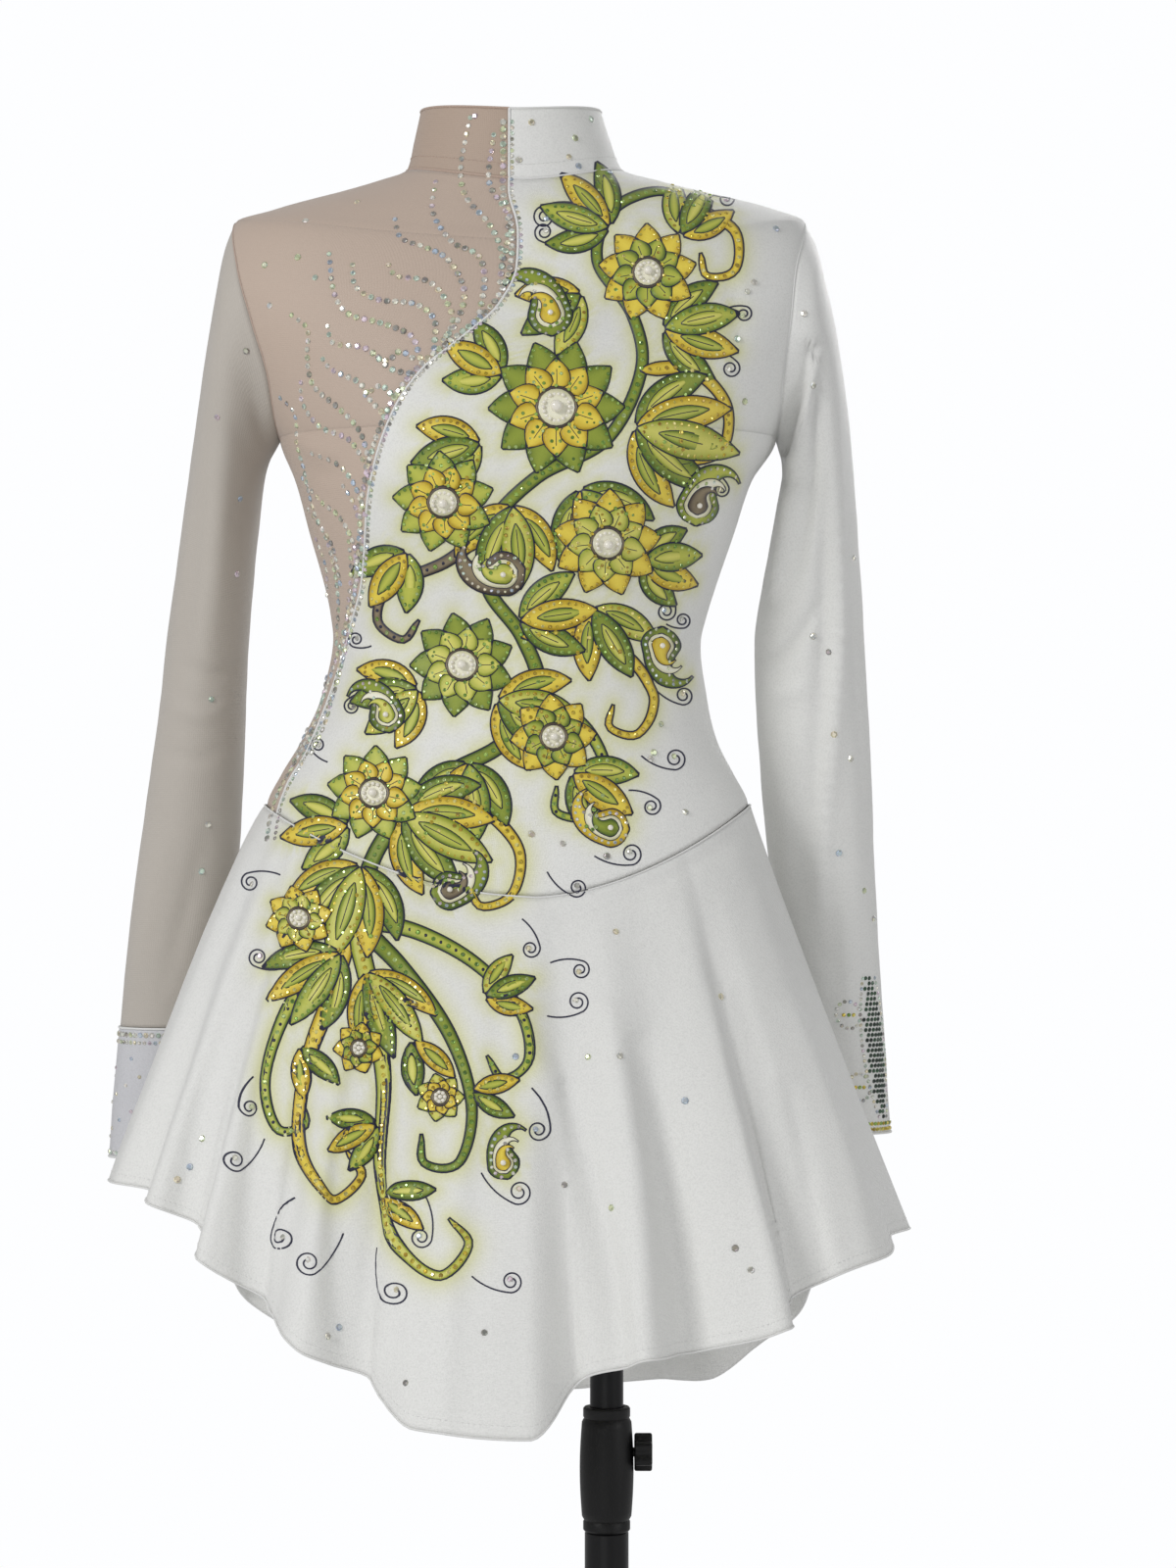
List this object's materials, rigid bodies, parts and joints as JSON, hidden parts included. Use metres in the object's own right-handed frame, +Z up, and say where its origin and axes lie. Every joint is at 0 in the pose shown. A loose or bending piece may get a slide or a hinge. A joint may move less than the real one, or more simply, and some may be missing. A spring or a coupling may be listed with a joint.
{
  "type": "figure skating dress on a dress form",
  "caption": "Long-sleeved figure skating dress with a stand collar, nude mesh yoke and flared skirt, on a limbless dress form with a height-adjustable pole and round base.",
  "frame": {"origin": "on the floor, at the middle of the base disc's underside, under the pole's axis", "axes": "+Z up, the front of the dress faces -Y, the wearer's left is +X"},
  "size_m": [0.5215, 0.4431, 1.42],
  "materials": {
    "white_satin": "satin",
    "nude_mesh": "matte",
    "sleeve_mesh": "matte",
    "cuff_cloth": "satin",
    "form_jersey": "matte",
    "black_metal": "satin",
    "black_plastic": "satin",
    "zip_nylon": "satin",
    "zip_metal": "gloss"
  },
  "bodies": {
    "stand": {"base_disc": "black_metal", "outer_tube": "black_metal", "clamp_collar": "black_plastic"},
    "knob": {"clamp_knob": "black_plastic"},
    "mast": {"pole": "black_metal"},
    "dress": {"dress_form": "form_jersey", "front_left": "white_satin", "front_right_mesh": "nude_mesh", "back_left": "white_satin", "back_right": "white_satin", "collar_left": "white_satin", "collar_right_mesh": "nude_mesh", "sleeve_left": "white_satin", "sleeve_right_mesh": "sleeve_mesh", "cuff_right": "cuff_cloth", "skirt_front": "white_satin", "skirt_back": "white_satin", "brief_front": "white_satin", "brief_back": "white_satin", "zip_tape": "zip_nylon", "zip_slider": "zip_metal"},
    "pull": {"zip_pull": "zip_metal"}
  },
  "joints": [
    {"name": "knob_turn", "type": "hinge", "parent": "stand", "child": "knob", "pos_m": [0.02, 0, 0.56], "axis": [1, 0, 0], "continuous": true},
    {"name": "height_slide", "type": "slide", "parent": "stand", "child": "mast", "axis": [0, 0, 1], "range_m": [-0.15, 0.2]},
    {"name": "form_swivel", "type": "hinge", "parent": "mast", "child": "dress", "pos_m": [0, 0, 0.86], "axis": [0, 0, 1], "continuous": true},
    {"name": "pull_swing", "type": "hinge", "parent": "dress", "child": "pull", "pos_m": [-0.058, 0.0625, 1.4137], "axis": [1, 0, 0], "range_deg": [0, 150]}
  ]
}
